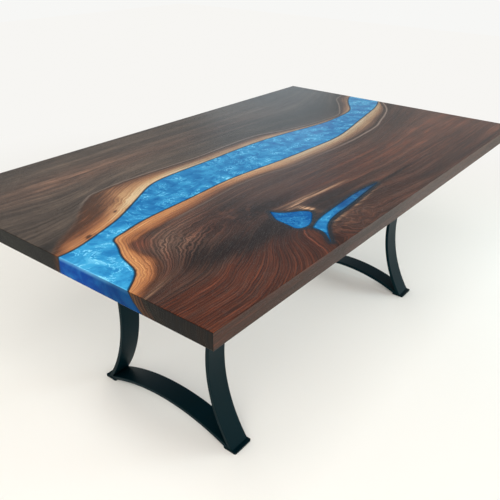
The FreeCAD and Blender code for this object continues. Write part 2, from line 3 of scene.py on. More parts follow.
import bmesh
import bpy
import numpy as np
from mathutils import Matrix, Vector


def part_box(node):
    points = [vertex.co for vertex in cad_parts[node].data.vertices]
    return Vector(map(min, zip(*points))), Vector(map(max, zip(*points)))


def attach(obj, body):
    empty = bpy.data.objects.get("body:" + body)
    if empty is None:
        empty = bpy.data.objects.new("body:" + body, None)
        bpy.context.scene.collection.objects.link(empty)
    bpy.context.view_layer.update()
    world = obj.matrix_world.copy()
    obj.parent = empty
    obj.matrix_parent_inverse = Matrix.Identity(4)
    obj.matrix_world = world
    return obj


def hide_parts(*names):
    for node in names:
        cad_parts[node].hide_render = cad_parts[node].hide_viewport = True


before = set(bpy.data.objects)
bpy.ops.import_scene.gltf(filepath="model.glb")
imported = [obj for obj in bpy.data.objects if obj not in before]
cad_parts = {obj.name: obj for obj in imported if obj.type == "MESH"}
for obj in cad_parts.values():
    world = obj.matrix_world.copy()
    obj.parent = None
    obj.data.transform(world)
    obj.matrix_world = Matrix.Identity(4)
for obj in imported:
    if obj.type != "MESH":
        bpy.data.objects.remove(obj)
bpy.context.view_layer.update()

# ---------------------------------------------------------------------------------------------------
# Left slab: a walnut plank sawn straight on three sides, its natural edge turned in towards the river.
# It is sanded flush with the resin, eased along its rim and rubbed with a satin hardwax oil.
# ---------------------------------------------------------------------------------------------------

slab_low, slab_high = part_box("slab_left")
HALF_LENGTH = slab_high.x
HALF_WIDTH = slab_high.y
TOP = slab_high.z
UNDERSIDE = slab_low.z
MIDDLE = (TOP + UNDERSIDE) / 2
EASED_RIM = 0.002
RIM_STEPS = 1 - np.cos(np.linspace(0, math.pi / 2, 5))
LIVE_EDGE_BULGE = 0.38
SHARP_TURN = math.radians(35)
SAME_PLACE = 1e-5
TRACING_STEPS = 4000
STATIONS = 430
CLEAR_OF_KNOT_PLACE = 0.0025
LEFT_SLAB_LINES = 75
CLOSER_TO_LIVE_EDGE = 0.85
GRAIN_LINE_PLACES = 420
PAST_THE_END = np.linspace(0.006, 0.3, 45)

# Where the sapwood of this slab ends, from the near end to the far end: x and y.
LEFT_HEARTWOOD = np.array([
    (-1.000, -0.068), (-0.915, -0.040), (-0.874, -0.008), (-0.820, 0.022), (-0.765, 0.062), (-0.712, 0.116),
    (-0.660, 0.156), (-0.630, 0.174), (-0.590, 0.181), (-0.530, 0.185), (-0.430, 0.184), (-0.305, 0.175),
    (-0.180, 0.167), (-0.055, 0.170), (0.070, 0.169), (0.145, 0.162), (0.257, 0.125), (0.382, 0.097),
    (0.507, 0.085), (0.607, 0.085), (0.682, 0.125), (0.757, 0.175), (0.820, 0.222), (0.907, 0.244),
    (1.000, 0.262),
])

# Soft oval patches in this slab's wood. Each row has a strength, which is below 0 where there is less
# of it, the centre's x and y, how far the patch reaches along and across itself, and the degrees by
# which it is turned from X.
LEFT_DARK = [
    (-0.60, -0.500, 0.340, 0.450, 0.200, 5),
    (0.35, -0.770, 0.038, 0.060, 0.022, 45),
    (0.70, -0.690, 0.090, 0.065, 0.030, 50),
    (0.55, -0.610, 0.150, 0.060, 0.018, 20),
    (0.32, -0.605, 0.100, 0.045, 0.030, 35),
    (0.30, 0.450, 0.200, 0.350, 0.070, 0),
]
LEFT_PIN_KNOTS = [
    (2.00, -0.803, -0.030, 0.010, 0.003, 25),
    (1.60, -0.782, -0.026, 0.006, 0.002, 20),
    (1.60, -0.660, 0.038, 0.008, 0.003, 35),
]
# A painted shade over the far end of this slab, in the same kind of rows.
LEFT_PAINTED_SHADE_FAR_END = [(0.20, 0.850, 0.200, 0.200, 0.045, 25)]
LEFT_RED = [(0.18, -0.620, 0.340, 0.350, 0.070, 4), (0.15, 0.000, 0.330, 0.600, 0.060, 0)]
LEFT_CURL = [(0.80, -0.600, 0.080, 0.080, 0.050, 35)]
LEFT_SNARL = [(0.45, -0.600, 0.090, 0.070, 0.040, 35)]
LEFT_SOFT_BORDER = [(0.016, -0.800, 0.020, 0.130, 0.100, 45)]


def face_outline(node, level):
    """The outline of a CAD node's level face at that height: the sides that only one triangle of the
    face has, put end to end, from the place with the lowest x. Places on the eased ends are left out."""
    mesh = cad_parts[node].data
    places = np.empty(len(mesh.vertices) * 3)
    mesh.vertices.foreach_get("co", places)
    corners = np.empty(len(mesh.loops), dtype=int)
    mesh.loops.foreach_get("vertex_index", corners)
    triangles = np.round(places.reshape(-1, 3)[corners].reshape(-1, 3, 3), 6)
    face = triangles[(np.abs(triangles[:, :, 2] - level) < SAME_PLACE).all(axis=1)]
    spots, ids = np.unique(face[:, :, :2].reshape(-1, 2), axis=0, return_inverse=True)
    ids = ids.reshape(-1, 3)
    sides = set(zip(ids.ravel().tolist(), np.roll(ids, -1, axis=1).ravel().tolist()))
    following = {start: end for start, end in sides if (end, start) not in sides}
    chain = [min(following)]
    while following[chain[-1]] != chain[0]:
        chain.append(following[chain[-1]])
    outline = spots[chain]
    return outline[np.abs(outline[:, 0]) < HALF_LENGTH - EASED_RIM + SAME_PLACE]


def two_banks(outline):
    """An outline parted at its two ends: its lower and its upper line, each with one y for each x."""
    turn = outline[:, 0].argmax()
    one = outline[:turn + 1]
    other = np.vstack([outline[turn:], outline[:1]])
    banks = []
    for line, side in zip(sorted([one, other], key=lambda line: line[:, 1].mean()), (1, -1)):
        line = line[np.lexsort((side * line[:, 1], line[:, 0]))]
        banks.append(line[np.diff(line[:, 0], prepend=-math.inf) > 2 * SAME_PLACE])
    return banks


def through(line, x):
    """A smooth curve through a line's places: a cubic from each to the next, whose slope at a place is
    that of the parabola through it and its two neighbours. Past its ends it goes straight on."""
    known_x, known_y = line.T
    slopes = np.gradient(known_y, known_x)
    inside = np.clip(x, known_x[0], known_x[-1])
    at = np.clip(np.searchsorted(known_x, inside) - 1, 0, len(known_x) - 2)
    step = known_x[at + 1] - known_x[at]
    t = (inside - known_x[at]) / step
    return (known_y[at] * (1 + 2 * t) * (1 - t) ** 2 + slopes[at] * step * t * (1 - t) ** 2
            + known_y[at + 1] * t ** 2 * (3 - 2 * t) + slopes[at + 1] * step * t ** 2 * (t - 1)
            + np.where(x < inside, slopes[0], slopes[-1]) * (x - inside))


right_bank_top, left_bank_top = two_banks(face_outline("resin_river", TOP))
right_bank_low, left_bank_low = two_banks(face_outline("resin_river", UNDERSIDE))
pool_low_bank, pool_high_bank = two_banks(face_outline("resin_knot_pool", TOP))
tail_low_bank, tail_high_bank = two_banks(face_outline("resin_knot_tail", TOP))


def live_edge(top_line, low_line, x):
    """A live edge's y at the top, at mid thickness and at the underside. At mid thickness it has come a
    little over a third of the way from the one to the other, so the edge bulges."""
    top = through(top_line, x)
    low = through(low_line, x)
    return top, top + LIVE_EDGE_BULGE * (low - top), low


def stations_along():
    """The x of every cross section: every place of the knots' outlines, a few close steps round the eased
    ends, and even steps along the more winding live edge, but for those close to a knot's place."""
    fine = np.linspace(-HALF_LENGTH, HALF_LENGTH, TRACING_STEPS)
    run = np.concatenate([[0], np.cumsum(np.hypot(np.diff(fine), np.diff(through(right_bank_top, fine))))])
    even = np.interp(np.linspace(0, run[-1], STATIONS), run, fine)
    ease = HALF_LENGTH - EASED_RIM * RIM_STEPS
    knots = np.concatenate([pool_low_bank, pool_high_bank, tail_low_bank, tail_high_bank])[:, 0]
    even = even[np.abs(even[:, None] - knots).min(axis=1) > CLEAR_OF_KNOT_PLACE]
    return np.unique(np.round(np.concatenate([even, ease, -ease, knots]), 4))


stations = stations_along()


def rim_drop(x, y):
    """How far the eased rim has dropped below the flat face: a quarter circle along the outer rim."""
    inside = np.minimum(HALF_LENGTH - np.abs(x), HALF_WIDTH - np.abs(y)).clip(0, EASED_RIM)
    return EASED_RIM - np.sqrt(EASED_RIM ** 2 - (EASED_RIM - inside) ** 2)


def spread(start, end, shares):
    """Lines between two edges, at the given shares of the way from the first to the second."""
    start = np.broadcast_to(start, end.shape)
    return start[:, None] + (end - start)[:, None] * shares[None, :]


def sheets(x, lines):
    """The points of a flat piece's cross sections at each level, from the y of its lines there."""
    across = np.stack(lines)
    along = np.broadcast_to(x[None, :, None], across.shape)
    drop = rim_drop(along[0], across[0])
    height = np.stack([TOP - drop, np.full_like(drop, MIDDLE), UNDERSIDE + rim_drop(along[2], across[2])])
    return np.stack([along, across, height], axis=-1)


def solid(name, patches):
    """One closed piece from patches, each a grid of points. Seams are merged, patches that come down to
    a line vanish, and faces are turned outwards."""
    vertices = []
    faces = []
    count = 0
    for patch in patches:
        ids = count + np.arange(patch.shape[0] * patch.shape[1]).reshape(patch.shape[:2])
        count += ids.size
        vertices.append(patch.reshape(-1, 3))
        corners = [ids[:-1, :-1], ids[1:, :-1], ids[1:, 1:], ids[:-1, 1:]]
        faces.append(np.stack(corners, axis=-1).reshape(-1, 4))
    mesh = bpy.data.meshes.new(name)
    mesh.from_pydata(np.concatenate(vertices), [], np.concatenate(faces))
    shape = bmesh.new()
    shape.from_mesh(mesh)
    bmesh.ops.remove_doubles(shape, verts=shape.verts, dist=1e-6)
    bmesh.ops.recalc_face_normals(shape, faces=shape.faces)
    shape.to_mesh(mesh)
    shape.free()
    mesh.shade_smooth()
    mesh.set_sharp_from_angle(angle=SHARP_TURN)
    piece = bpy.data.objects.new(name, mesh)
    bpy.context.collection.objects.link(piece)
    flat = piece.modifiers.new("flat_faces_stay_flat", "WEIGHTED_NORMAL")
    flat.keep_sharp = True
    return piece


def whole_skin(points):
    """Every outer patch of a flat piece with no holes: both faces, both sides and both ends."""
    return [points[0], points[-1], points[:, :, 0], points[:, :, -1], points[:, 0], points[:, -1]]


def to_live_edge(outer, edge, count):
    """Lines from the straight outer side, closely spaced round its eased rim, to the live edge. Their
    shares of the way are even steps to a power below 1, so they lie closer by the live edge."""
    side = 1 if outer > 0 else -1
    rim = outer - side * EASED_RIM * RIM_STEPS[:-1]
    flat = spread(outer - side * EASED_RIM, edge, np.linspace(0, 1, count) ** CLOSER_TO_LIVE_EDGE)
    return np.hstack([np.broadcast_to(rim, (len(edge), len(rim))), flat])


def vertex_places(piece):
    """The x, the y and the z of a piece's vertices."""
    places = np.empty(len(piece.data.vertices) * 3)
    piece.data.vertices.foreach_get("co", places)
    return places.reshape(-1, 3).T


def under_top(x, y, z, top_line, low_line):
    """The y on the top that a place's growth ring comes from: the rings lean as the live edge does."""
    lean = np.interp((TOP - z) / (TOP - UNDERSIDE), [0, 0.5, 1], [0, LIVE_EDGE_BULGE, 1])
    return y - lean * (through(low_line, x) - through(top_line, x))


def give(piece, name, first, second, third):
    """Stores three numbers for each vertex, for the finish to read."""
    values = np.stack([first, second, third], axis=-1).astype(np.float32)
    piece.data.attributes.new(name, "FLOAT_VECTOR", "POINT").data.foreach_set("vector", values.ravel())


def ease_between(start, end, value):
    """0 before start and 1 past end, with a smooth turn at both. Start may be the greater of the two."""
    t = ((value - start) / (end - start)).clip(0, 1)
    return t * t * (3 - 2 * t)


def patchwork(x, y, rows):
    """The sum of soft oval patches. Each is its strength times e to the power of minus the squared
    distance from its centre, measured in its reach along and across itself."""
    total = np.zeros_like(x)
    for strength, centre_x, centre_y, reach_along, reach_across, degrees in rows:
        cos, sin = math.cos(math.radians(degrees)), math.sin(math.radians(degrees))
        dx, dy = x - centre_x, y - centre_y
        total += strength * np.exp(-((dx * cos + dy * sin) / reach_along) ** 2
                                   - ((dy * cos - dx * sin) / reach_across) ** 2)
    return total


def soft_distance(line, x, y):
    """Distance to a line, rounded off where two stretches are as near: each stretch ds at a distance r
    adds ds / r^4, which for an endless straight line at a distance d comes to pi / (2 d^3). A small sum
    added to r^2 keeps it finite on the line itself."""
    steps = np.hypot(*np.gradient(line, axis=0).T)
    total = np.zeros_like(x)
    for (near_x, near_y), step in zip(line, steps):
        total += step / ((x - near_x) ** 2 + (y - near_y) ** 2 + 6e-6) ** 2
    return (math.pi / 2 / total) ** (1 / 3)


def lengthened(bank, slope_near, slope_far):
    """A live edge as evenly spaced places, carried on past both ends of the table."""
    x = np.linspace(-HALF_LENGTH, HALF_LENGTH, GRAIN_LINE_PLACES)
    y = through(bank, x)
    near = np.stack([-HALF_LENGTH - PAST_THE_END, y[0] - slope_near * PAST_THE_END], axis=-1)[::-1]
    far = np.stack([HALF_LENGTH + PAST_THE_END, y[-1] + slope_far * PAST_THE_END], axis=-1)
    return np.vstack([near, np.stack([x, y], axis=-1), far])


def beside(line, x, y):
    """Signed distance across a line that runs along the table, right near it: the gap in y, times the
    cosine of the line's slope."""
    reach = 0.002
    slope = (through(line, x + reach) - through(line, x - reach)) / (2 * reach)
    return (y - through(line, x)) / np.hypot(1, slope)


class Value:
    """A number in a material. Arithmetic on it adds the material's Math nodes."""

    def __init__(self, finish, socket):
        self.finish = finish
        self.socket = socket

    def math(self, operation, *terms):
        """One Math node: an operation on numbers."""
        return self.finish.add("ShaderNodeMath", {"operation": operation}, terms)

    def __add__(self, other):
        return self.math("ADD", self, other)

    __radd__ = __add__

    def __sub__(self, other):
        return self.math("SUBTRACT", self, other)

    def __rsub__(self, other):
        return self.math("SUBTRACT", other, self)

    def __mul__(self, other):
        return self.math("MULTIPLY", self, other)

    __rmul__ = __mul__

    def __pow__(self, other):
        return self.math("POWER", self, other)

    def __abs__(self):
        return self.math("ABSOLUTE", self)

    def fraction(self):
        """What is left of the number after its whole part."""
        return self.math("FRACT", self)

    def above_zero(self):
        """The number, or 0 where it is less."""
        return self.math("MAXIMUM", self, 0.0)


class Finish:
    """The nodes of a material, or of the world, and the ways to add to them."""

    def __init__(self, owner, coordinates="Object"):
        owner.use_nodes = True
        self.owner = owner
        self.nodes = owner.node_tree.nodes
        self.links = owner.node_tree.links
        self.shader = self.nodes.get("Principled BSDF")
        self.place = self.add("ShaderNodeTexCoord", output=coordinates)

    def put(self, socket, value):
        """Links a value to a socket, or sets the socket to a plain number or colour."""
        if isinstance(value, Value):
            self.links.new(value.socket, socket)
        elif isinstance(value, tuple) and len(socket.default_value) == 4:
            socket.default_value = value + (1.0,)
        else:
            socket.default_value = value

    def add(self, kind, settings=(), inputs=(), output=0):
        """One node: its kind, its settings, and its sockets' values or links, by place or by name."""
        node = self.nodes.new(kind)
        for name, value in dict(settings).items():
            if name == "stops":
                for _ in range(len(value) - 2):
                    node.color_ramp.elements.new(0.5)
                for element, (position, colour) in zip(node.color_ramp.elements, value):
                    element.position = position
                    element.color = colour + (1.0,)
            else:
                setattr(node, name, value)
        pairs = inputs.items() if isinstance(inputs, dict) else enumerate(inputs)
        for key, value in pairs:
            self.put(node.inputs[key], value)
        return Value(self, node.outputs[output])

    def read(self, name):
        """The three numbers of a vertex attribute."""
        return self.parts(self.add("ShaderNodeAttribute", {"attribute_name": name}, output="Vector"))

    def parts(self, vector):
        """The x, the y and the z of a vector."""
        node = self.nodes.new("ShaderNodeSeparateXYZ")
        self.put(node.inputs[0], vector)
        return [Value(self, socket) for socket in node.outputs]

    def vector(self, x, y, z):
        """A vector from its x, y and z."""
        return self.add("ShaderNodeCombineXYZ", inputs=(x, y, z))

    def noise(self, vector, scale, detail=2.0, roughness=0.5, distortion=0.0, output=0):
        """Soft noise from 0 to 1, with so many spots to a metre."""
        return self.add("ShaderNodeTexNoise", inputs={
            "Vector": vector, "Scale": scale, "Detail": detail, "Roughness": roughness,
            "Distortion": distortion}, output=output)

    def swing(self, *terms):
        """The same noise about 0."""
        return self.noise(*terms) - 0.5

    def step(self, value, start, end):
        """0 before start and 1 past end, with a smooth turn at both."""
        return self.add("ShaderNodeMapRange", {"interpolation_type": "SMOOTHSTEP"}, (value, start, end, 0, 1))

    def ramp(self, value, stops):
        """A colour for each number, between the colours of the two stops that it lies between."""
        return self.add("ShaderNodeValToRGB", {"stops": stops}, (value,))

    def mix(self, share, first, second, how="MIX"):
        """A colour between two, or one laid over the other in another way."""
        return self.add("ShaderNodeMix", {"data_type": "RGBA", "blend_type": how},
                        {0: share, 6: first, 7: second}, output=2)

    def tinted(self, colour, tint, share=1.0):
        """A colour times a tint, wholly or in part."""
        return self.mix(share, colour, tint, "MULTIPLY")

    def face_turn(self):
        """How squarely a face looks along X, Y and Z."""
        return [abs(part) for part in self.parts(self.add("ShaderNodeNewGeometry", output="Normal"))]

    def surface(self, **values):
        """Sets the shader's sockets, named with underscores for spaces."""
        for name, value in values.items():
            self.put(self.shader.inputs[name.replace("_", " ")], value)

    def bump(self, height, distance):
        """The normal of a surface that a height from 0 to 1 raises by a distance."""
        return self.add("ShaderNodeBump", inputs={"Distance": distance, "Height": height})


# The oiled wood from its darkest grain to its palest, the tints laid over it and the marks in it.
HEART_TONES = [
    (0.00, (0.009, 0.007, 0.006)), (0.28, (0.024, 0.019, 0.015)), (0.50, (0.055, 0.041, 0.032)),
    (0.74, (0.110, 0.080, 0.060)), (1.00, (0.230, 0.162, 0.112)),
]
SAP_TONES = [
    (0.00, (0.070, 0.032, 0.018)), (0.30, (0.185, 0.080, 0.042)), (0.58, (0.370, 0.180, 0.088)),
    (0.82, (0.520, 0.310, 0.160)), (1.00, (0.680, 0.500, 0.320)),
]
RED_HEART_TINT = (1.50, 0.51, 0.28)
SNARL_FLAME = (0.150, 0.062, 0.036)
PALE_STREAK = (0.62, 0.36, 0.21)
PLAIN_SAP_TINT = (0.97, 0.97, 0.90)
# A greyer, bluer tint that paints the reflection of the pale surround into the sapwood towards the far end.
SAP_PAINTED_REFLECTION_TINT = (0.84, 1.03, 1.22)
ORANGE_SAP_TINT = (1.10, 0.86, 0.60)
DARK_GROWTH_LINE = (0.032, 0.017, 0.011)
PALE_GROWTH_LINE = (0.300, 0.225, 0.185)
PORE = (0.016, 0.010, 0.008)
BARK_RIM = (0.010, 0.012, 0.017)
END_GRAIN_DARK = (0.015, 0.015, 0.012)
END_GRAIN_PALE = (0.24, 0.21, 0.16)
END_GRAIN_HEART_TINT = (0.30, 0.50, 0.50)
SAWN_SIDE_TINT = (0.82, 0.82, 0.82)
SAWN_SIDE_GREY = (0.047, 0.034, 0.026)


def walnut_finish():
    """Oiled walnut: its figure is noise that follows the growth rings, drawn out along the grain. Grain
    holds how far along the grain a place is, how far across its rings, and how far past the sapwood in
    widths of the soft border. Zones holds the dark patches, with a painted shade at the left slab's far
    end among them, and the red and curly patches. Edges holds the distance to resin, the share of the
    sapwood's width and the pale streaks. Marks holds the growth line round the sapwood, the sapwood's
    orange, which below 0 turns greyer and bluer as a painted reflection, and the snarled grain. The
    sapwood is lightened along the resin as a painted highlight, and the sawn sides are darker and greyer."""
    wood = Finish(bpy.data.materials.new("walnut"))
    z = wood.parts(wood.place)[2]
    along, across, past_heart = wood.read("grain")
    dark, warm, curl = wood.read("zones")
    inward, sap_share, pale = wood.read("edges")
    growth, orange_and_painted_reflection, snarl = wood.read("marks")
    turn_x, turn_y = wood.face_turn()[:2]
    end_grain = wood.step(turn_x, 0.6, 0.85)
    sawn_side = wood.step(turn_y, 0.6, 0.85)

    wander = wood.swing(wood.place, 4.5, 2)
    ripple = wood.swing(wood.vector(along, across * 2.0, 0.5), 26, 2)
    swirl = wood.swing(wood.place, 44, 1, 0.5, 0.6)
    crimp = wood.swing(wood.place, 105, 1)
    knotty = wood.swing(wood.place, 15, 2, 0.5, 0.5)
    face_ring = (across + 0.012 * wander + 0.0040 * ripple + curl * (0.015 * swirl + 0.003 * crimp)
                 + 0.13 * snarl * knotty - 0.8 * (z - TOP))
    side_ring = 0.9 * z + 0.03 * wood.noise(wood.vector(along * 1.3, 0.0, z), 1, 1)
    ring = face_ring + sawn_side * (side_ring - face_ring)

    def drawn_out(spots_along, spots_across, layer, detail, roughness=0.5):
        """Noise with so many spots to a metre along the grain and across the rings."""
        place = wood.vector(along * spots_along, ring * spots_across, layer)
        return wood.noise(place, 1, detail, roughness)

    broad = drawn_out(1.1, 26, 0.0, 2) - 0.5
    bands = drawn_out(2.0, 190, 3.7, 3, 0.6) - 0.5
    streaks = drawn_out(8, 620, 8.1, 3, 0.65) - 0.5
    mottle = drawn_out(9, 70, 1.6, 2, 0.6) - 0.5
    strand = wood.step(drawn_out(3.0, 150, 5.2, 1), 0.48, 0.56)
    pores = wood.step(drawn_out(50, 1500, 2.3, 1), 0.60, 0.70)
    late_wood = (ring * 135 + 2.4 * broad + 0.8 * bands).fraction() ** 3
    figure = curl * (2.0 * abs((ring * 95 + 0.5 * bands).fraction() - 0.5) - 0.50)
    cloud = wood.swing(wood.place, 2.2, 2)
    flame = wood.step(wood.noise(wood.place, 34, 2), 0.52, 0.68)

    dark = dark * (1.0 + 2.4 * mottle)
    warm = warm * (1.0 + 1.2 * mottle)
    contrast = 0.62 + 0.70 * warm
    heart_tone = (0.47 + 0.75 * broad + contrast * (0.78 * bands + streaks - 0.22 * late_wood)
                  + 0.45 * cloud - 0.36 * dark + 0.03 * warm + 0.38 * figure + 0.05 * curl)
    heart = wood.tinted(wood.ramp(heart_tone, HEART_TONES), RED_HEART_TINT, warm)
    heart = wood.mix(0.85 * snarl * flame, heart, SNARL_FLAME)
    heart = wood.mix(pale * (0.14 + 0.86 * strand), heart, PALE_STREAK)

    ripe = orange_and_painted_reflection.above_zero()
    # Along the resin the sapwood is lightened: a painted highlight on the bank.
    painted_highlight_by_resin = wood.step(sap_share, 0.50, 0.05)
    by_heart = wood.step(sap_share, 0.35, 0.75)
    sap_tone = (0.74 - 0.06 * ripe - 0.52 * sap_share ** 3.2 + (0.70 + 0.3 * curl) * bands
                + 0.65 * streaks + 0.45 * broad - 0.12 * late_wood + 0.24 * (1 - ripe) * painted_highlight_by_resin
                - 0.8 * dark.above_zero() + 0.25 * figure - 0.20 * growth * by_heart)
    # Where the mark is below 0, towards the far end, the sapwood is tinted greyer and bluer: a painted
    # reflection.
    sap_tint_with_painted_reflection = wood.mix(0 - orange_and_painted_reflection, PLAIN_SAP_TINT, SAP_PAINTED_REFLECTION_TINT)
    sap = wood.tinted(wood.ramp(sap_tone, SAP_TONES), wood.mix(orange_and_painted_reflection, sap_tint_with_painted_reflection, ORANGE_SAP_TINT))

    border = past_heart + 0.9 * wander + 0.35 * swirl + 0.8 * bands
    in_heart = wood.step(border, -1.0, 1.0)
    dark_line = wood.step(abs(border + 0.9), 1.3, 0.3)
    pale_line = wood.step(abs(border - 1.1), 1.0, 0.3)
    colour = wood.mix(in_heart, sap, heart)
    colour = wood.mix(dark_line * growth * 0.65, colour, DARK_GROWTH_LINE)
    colour = wood.mix(pale_line * growth * 0.60, colour, PALE_GROWTH_LINE)
    colour = wood.mix(pores * 0.6, colour, PORE)
    colour = wood.mix(wood.step(inward + 0.0020 * swirl, 0.0050, 0.0018), colour, BARK_RIM)

    ring_ends = wood.noise(wood.vector(ring * 110, z * 6, 3.1), 1, 2) + 0.5 * wood.swing(wood.place, 900, 2)
    end_tone = wood.mix(wood.step(ring_ends, 0.38, 0.68), END_GRAIN_DARK, END_GRAIN_PALE)
    end_tone = wood.tinted(end_tone, END_GRAIN_HEART_TINT, in_heart)
    colour = wood.tinted(colour, end_tone, end_grain)
    # The sawn sides are made a little darker and greyer.
    greyed_side = wood.mix(0.30, wood.tinted(colour, SAWN_SIDE_TINT), SAWN_SIDE_GREY)
    colour = wood.mix(sawn_side, colour, greyed_side)

    wood.surface(Base_Color=colour, Roughness=0.36 + 0.10 * streaks + 0.10 * pores, IOR=1.24,
                 Normal=wood.bump(streaks * 0.4 - pores, 0.0002))
    return wood.owner


walnut = walnut_finish()
left_edge_levels = live_edge(left_bank_top, left_bank_low, stations)
slab_left = solid("walnut_slab_left", whole_skin(sheets(
    stations, [to_live_edge(HALF_WIDTH, edge, LEFT_SLAB_LINES) for edge in left_edge_levels])))
x, y, z = vertex_places(slab_left)
y = under_top(x, y, z, left_bank_top, left_bank_low)

# The rings follow the live edge, and turn straight along the plank further in.
off_edge = soft_distance(lengthened(left_bank_top, 0.0, 0.55), x, y)
straight = ease_between(0.05, 0.34, off_edge)
past_heart = beside(LEFT_HEARTWOOD, x, y)
give(slab_left, "grain", x, off_edge * (1 - straight) + (y - 0.09) * straight,
     past_heart / (0.004 + patchwork(x, y, LEFT_SOFT_BORDER)))
dark_sapwood = ease_between(-0.54, -0.64, x) + ease_between(-0.40, -0.28, x)
# The dark zone takes in a painted shade at the far end.
give(slab_left, "zones",
     patchwork(x, y, LEFT_DARK + LEFT_PIN_KNOTS) - 0.15
     + 0.36 * dark_sapwood * ease_between(0.006, -0.004, past_heart)
     + 0.25 * ease_between(-0.86, -0.91, x) * (y < 0.02)
     + ease_between(0.66, 0.80, x) * patchwork(x, y, LEFT_PAINTED_SHADE_FAR_END),
     patchwork(x, y, LEFT_RED), patchwork(x, y, LEFT_CURL))
give(slab_left, "edges", beside(left_bank_top, x, y), off_edge / (off_edge + np.abs(past_heart)), 0 * x)
# The sapwood's orange turns, below 0, into the painted reflection towards the far end.
give(slab_left, "marks", 0.6 * ease_between(-0.75, -0.64, x) + 0.4 * ease_between(-0.60, -0.40, x),
     0.8 * ease_between(-0.62, -0.76, x) - ease_between(-0.44, -0.28, x), patchwork(x, y, LEFT_SNARL))
slab_left.data.materials.append(walnut)
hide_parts("slab_left")
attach(slab_left, "root")

# ---------------------------------------------------------------------------------------------------
# Right slab: the plank's other half, with a crook in its live edge at the near end, a knot that dropped
# out and an open check beside it. Both hollows are routed clean for the resin.
# ---------------------------------------------------------------------------------------------------

TAIL_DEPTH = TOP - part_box("resin_knot_tail")[0].z
OUTER_LINES = 16
TAIL_LINES = 5
BRIDGE_LINES = 5
FIELD_LINES = 46
CROOK_START = -0.845

# Where the sapwood of this slab ends: x and y.
RIGHT_HEARTWOOD = np.array([
    (-1.000, -0.350), (-0.915, -0.337), (-0.870, -0.320), (-0.820, -0.290), (-0.793, -0.248),
    (-0.780, -0.200), (-0.766, -0.158), (-0.730, -0.134), (-0.642, -0.118), (-0.555, -0.110),
    (-0.430, -0.100), (-0.305, -0.090), (-0.180, -0.097), (-0.055, -0.119), (0.070, -0.125),
    (0.195, -0.131), (0.320, -0.131), (0.445, -0.122), (0.545, -0.112), (0.632, -0.087), (0.732, -0.056),
    (0.820, -0.019), (0.907, 0.044), (1.000, 0.110),
])

# How far the knots lift the grain that passes them: x and the lift. It fades away from their row.
KNOT_LIFT = np.array([
    (-1.000, 0.000), (-0.700, 0.000), (-0.600, 0.018), (-0.520, 0.065), (-0.440, 0.125), (-0.385, 0.145),
    (-0.330, 0.105), (-0.200, 0.065), (0.000, 0.028), (0.150, 0.005), (0.300, 0.000), (1.000, 0.000),
])
KNOT_ROW = -0.42

# Soft oval patches in this slab's wood, in rows like the left slab's.
RIGHT_DARK = [
    (0.12, -0.880, -0.315, 0.040, 0.030, 30),
    (0.08, -0.780, -0.215, 0.050, 0.050, 0),
    (-0.40, -0.742, -0.155, 0.045, 0.030, 60),
    (0.38, -0.735, -0.112, 0.050, 0.022, 10),
    (0.70, -0.700, -0.300, 0.060, 0.050, 40),
    (-0.40, -0.700, -0.225, 0.080, 0.080, 40),
    (1.20, -0.590, -0.340, 0.130, 0.040, -4),
    (-0.80, -0.570, -0.140, 0.120, 0.026, 8),
    (0.25, -0.480, -0.410, 0.160, 0.060, 0),
    (1.00, -0.460, -0.350, 0.050, 0.050, 0),
    (0.50, -0.450, -0.160, 0.120, 0.040, 0),
    (0.80, -0.420, -0.505, 0.050, 0.030, 40),
    (1.10, -0.400, -0.250, 0.130, 0.045, -6),
    (0.30, -0.390, -0.066, 0.110, 0.030, 5),
    (1.10, -0.230, -0.365, 0.150, 0.028, 0),
    (0.30, -0.130, -0.475, 0.160, 0.040, 0),
    (1.90, 0.120, -0.413, 0.130, 0.005, 1),
    (-0.55, 0.600, -0.290, 0.450, 0.160, 0),
]
RIGHT_RED = [
    (0.40, -0.745, -0.155, 0.045, 0.035, 60),
    (-0.22, -0.690, -0.215, 0.080, 0.090, 40),
    (0.30, -0.530, -0.210, 0.100, 0.050, 0),
    (0.15, 0.000, -0.270, 0.400, 0.120, 0),
]
RIGHT_CURL = [
    (0.70, -0.830, -0.255, 0.070, 0.050, 60),
    (-0.90, -0.755, -0.155, 0.040, 0.030, 60),
    (1.30, -0.695, -0.225, 0.100, 0.090, 40),
    (0.25, -0.530, -0.225, 0.150, 0.080, -10),
    (0.15, -0.290, -0.475, 0.100, 0.040, 0),
]
RIGHT_SNARL = [
    (0.35, -0.670, -0.205, 0.045, 0.030, 60),
    (0.50, -0.490, -0.220, 0.120, 0.060, -5),
    (0.90, -0.290, -0.475, 0.110, 0.045, 0),
]
RIGHT_PALE_STREAKS = [
    (0.55, -0.872, -0.334, 0.050, 0.005, 15),
    (1.00, -0.320, -0.313, 0.050, 0.007, 5),
    (1.40, -0.310, -0.352, 0.026, 0.010, -74),
    (0.75, -0.200, -0.310, 0.130, 0.007, -6),
]
RIGHT_BORDER_SHIFT = [(0.010, -0.778, -0.150, 0.030, 0.028, 0), (-0.016, -0.778, -0.235, 0.034, 0.028, 0)]
RIGHT_SOFT_BORDER = [(0.012, -0.820, -0.260, 0.090, 0.060, 60)]


def between_banks(low_bank, high_bank, x, shares):
    """Lines across a knot. Past its ends they all lie on each other, at the height of that end."""
    low = np.interp(x, *low_bank.T)
    high = np.interp(x, *high_bank.T)
    past = (x < low_bank[0, 0]) | (x > low_bank[-1, 0])
    return spread(np.where(past, high, low), high, shares)


def within(bank, x):
    """The cross sections from one end of a knot to the other."""
    return slice(np.argmin(np.abs(x - bank[0, 0])), np.argmin(np.abs(x - bank[-1, 0])) + 1)


def band_to(start, end, count):
    """Evenly spaced lines from one line to another, without the lines themselves."""
    return spread(start, end, np.linspace(0, 1, count + 2)[1:-1])


